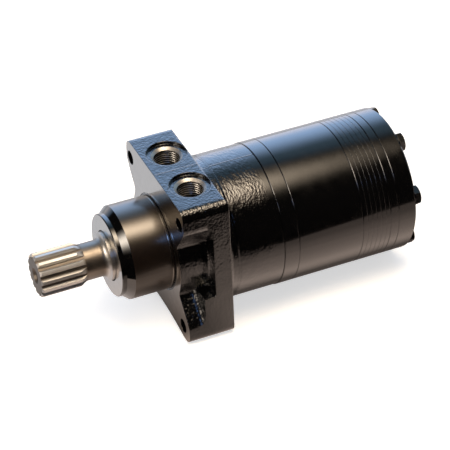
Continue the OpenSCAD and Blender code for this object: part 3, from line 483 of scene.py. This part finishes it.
def turned_steel(name, colours, roughness, mark_mm, mark_depth_mm, painted_shade_r=0):
    """Bare oiled steel with fine tool marks that run round the shaft axis. Within a given radius of the
    axis, painted shade darkens it towards the roots of the grooves."""
    material, tree, place = start_material(name)
    edges = add(tree, "ShaderNodeBevel", {"Radius": 0.25 * MM}, samples=BEVEL_SAMPLES)
    along = add(tree, "ShaderNodeVectorMath", {0: place, 1: (0.12, 1 / mark_mm, 0.12)},
                operation="MULTIPLY")
    marks = add(tree, "ShaderNodeTexNoise",
                {"Vector": along, "Scale": 1.0, "Detail": 3.0, "Roughness": 0.7})
    marked = add(tree, "ShaderNodeBump", {"Height": marks.outputs[0], "Distance": mark_depth_mm * MM,
                                          "Normal": edges})
    cloud = add(tree, "ShaderNodeTexNoise", {"Vector": place, "Scale": 1 / 9, "Detail": 3.0}).outputs[0]
    tone = add(tree, "ShaderNodeMix", {"Factor": cloud, "A": linear(colours[0]), "B": linear(colours[1])},
               data_type="RGBA")
    # Painted shade in the spline's grooves: the steel darkens towards the roots, inside the given radius
    if painted_shade_r:
        depth = add(tree, "ShaderNodeMapRange",
                    {"Value": distance_from(tree, place, ORIGIN, ACROSS_SHAFT),
                     "From Min": painted_shade_r + 1.3, "From Max": painted_shade_r + 0.1})
        tone = add(tree, "ShaderNodeMix", {"Factor": depth, "A": tone, "B": linear("857c72")},
                   data_type="RGBA")
    shine = add(tree, "ShaderNodeMapRange", {"Value": cloud, "From Min": 0.3, "From Max": 0.7,
                                             "To Min": roughness[0], "To Max": roughness[1]})
    # A hob leaves the splines duller than a lathe leaves the rest
    hobbed = add(tree, "ShaderNodeMapRange",
                 {"Value": add(tree, "ShaderNodeSeparateXYZ", {0: place}).outputs["Y"],
                  "From Min": SPLINE_END_Y + 1, "From Max": SPLINE_END_Y - 1, "To Min": 0, "To Max": 0.12})
    dull = add(tree, "ShaderNodeMath", {0: shine, 1: hobbed}, operation="ADD")
    metal = add(tree, "ShaderNodeBsdfPrincipled",
                {"Base Color": tone, "Metallic": 1.0, "Roughness": dull, "Normal": marked})
    add(tree, "ShaderNodeOutputMaterial", {"Surface": metal})
    return material


def cut_thread(name, centre, keep, crest_r, root_r):
    """A tapped thread: light bare metal on its crests, darkening to near black towards its roots as painted
    shade.
    """
    material, tree, place = start_material(name)
    # Off the axis there are two holes, tested at once on one side's place and its mirror
    if centre[0]:
        parts = add(tree, "ShaderNodeSeparateXYZ", {0: place}).outputs
        across = add(tree, "ShaderNodeMath", {0: parts["X"]}, operation="ABSOLUTE")
        place = add(tree, "ShaderNodeCombineXYZ", {"X": across, "Y": parts["Y"], "Z": parts["Z"]})
    # Painted shade: the colour darkens from the crests to near black halfway to the roots
    depth = add(tree, "ShaderNodeMapRange",
                {"Value": distance_from(tree, place, centre, keep), "From Min": crest_r,
                 "From Max": (crest_r + root_r) / 2})
    tone = add(tree, "ShaderNodeMix", {"Factor": depth, "A": linear("d8d4ce"), "B": linear("1a1613")},
               data_type="RGBA")
    metal = add(tree, "ShaderNodeBsdfPrincipled", {"Base Color": tone, "Metallic": 1.0, "Roughness": 0.3})
    add(tree, "ShaderNodeOutputMaterial", {"Surface": metal})
    return material


def nitrile_rubber():
    """Moulded nitrile: matt black with a faint bloom."""
    material, tree, place = start_material("moulded_nitrile_rubber")
    edges = add(tree, "ShaderNodeBevel", {"Radius": 0.2 * MM}, samples=BEVEL_SAMPLES)
    bloom = add(tree, "ShaderNodeTexNoise", {"Vector": place, "Scale": 1 / 3, "Detail": 3.0}).outputs[0]
    tone = add(tree, "ShaderNodeMix", {"Factor": bloom, "A": linear("161616"), "B": linear("262625")},
               data_type="RGBA")
    dull = add(tree, "ShaderNodeMapRange", {"Value": bloom, "From Min": 0.3, "From Max": 0.7,
                                            "To Min": 0.5, "To Max": 0.7})
    skin = add(tree, "ShaderNodeBump", {"Height": bloom, "Distance": 0.02 * MM, "Normal": edges})
    rubber = add(tree, "ShaderNodeBsdfPrincipled", {"Base Color": tone, "Roughness": dull, "Normal": skin})
    add(tree, "ShaderNodeOutputMaterial", {"Surface": rubber})
    return material


CAST = cast_enamel()
STACK = turned_enamel("gloss_enamel_on_turned_steel", 2.6, 0.008, 0.35)
HEADS = turned_enamel("gloss_enamel_on_forged_bolt_heads", 1.2, 0.03, 0.35)
SHAFT = turned_steel("turned_and_hobbed_alloy_steel", ("cac7c3", "dcdad7"), (0.34, 0.44), 0.5, 0.006,
                     SPLINE_ROOT_R)
PORT_THREAD = cut_thread("tapped_cast_iron", (PORT_X, PORT_Y, 0), ACROSS_PORT, PORT_CREST_R, PORT_ROOT_R)
END_THREAD = cut_thread("tapped_shaft_steel", ORIGIN, ACROSS_SHAFT, END_CREST_R, END_ROOT_R)
GROUND = turned_steel("ground_bearing_steel", ("b4b3b1", "c8c7c5"), (0.14, 0.2), 0.2, 0.002)
CAGE = turned_steel("stamped_brass_cage", ("a58a4c", "bfa262"), (0.28, 0.4), 0.5, 0.006)
RUBBER = nitrile_rubber()

BY_SLOT = {"black_paint": STACK, "machined_steel": SHAFT, "ground_steel": GROUND,
           "bearing_cage": CAGE, "seal_rubber": RUBBER}
BY_NODE = {"housing": CAST, "end_bolts": HEADS}
for part in frame["record"]["subparts"]:
    node = NODES[part["node"]]
    for material_slot in node.material_slots:
        material_slot.material = BY_NODE.get(part["node"], BY_SLOT[part["material_slot"]])


# Threads

def internal_thread(name, crest_r, root_r, pitch, span, centre, along, body, material):
    """The ridge of an internal thread, wound round an axis through centre, with ends that fade in over
    half a turn. The span's ends are measured along the axis, which is Y or Z."""
    steps = 48
    fade_turns = 0.5
    start, end = span
    mesh = bpy.data.meshes.new(name)
    work = bmesh.new()
    turns = (end - start) / pitch
    count = int(turns * steps)
    # Across one pitch: root, flank, crest, flank, root, as shares of the pitch and of the depth
    profile = [(-0.46, 0), (-0.08, 1), (0.08, 1), (0.46, 0)]
    rows = []
    for i in range(count + 1):
        angle = 2 * math.pi * i / steps
        ahead = start + (end - start) * i / count
        fade = min(1, min(i, count - i) / (steps * fade_turns))
        row = []
        for share, rise in profile:
            radius = root_r - (root_r - crest_r) * rise * fade
            side, up = radius * math.cos(angle), radius * math.sin(angle)
            depth = ahead + share * pitch
            spot = (side, depth, up) if along == "Y" else (side, up, depth)
            row.append(work.verts.new(Vector(spot) * MM + Vector(centre) * MM))
        rows.append(row)
    for row, after in zip(rows, rows[1:]):
        for j in range(len(profile) - 1):
            work.faces.new((row[j], row[j + 1], after[j + 1], after[j]))
    # A flat back closes the ridge, so that it is a solid strip
    for row, after in zip(rows, rows[1:]):
        work.faces.new((row[-1], row[0], after[0], after[-1]))
    work.faces.new(rows[0])
    work.faces.new(list(reversed(rows[-1])))
    bmesh.ops.recalc_face_normals(work, faces=work.faces)
    work.to_mesh(mesh)
    work.free()
    mesh.materials.append(material)
    thread = bpy.data.objects.new(name, mesh)
    bpy.context.scene.collection.objects.link(thread)
    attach(thread, body)


for label, sign in (("right", 1), ("left", -1)):
    internal_thread(f"port_thread_{label}", PORT_CREST_R, PORT_ROOT_R, PORT_PITCH, PORT_THREAD_SPAN,
                    (sign * PORT_X, PORT_Y, 0), "Z", "motor_body", PORT_THREAD)
internal_thread("shaft_end_thread_ridge", END_CREST_R, END_ROOT_R, END_PITCH, END_THREAD_SPAN,
                ORIGIN, "Y", "shaft", END_THREAD)


bpy.context.scene.view_settings.view_transform = "Standard"
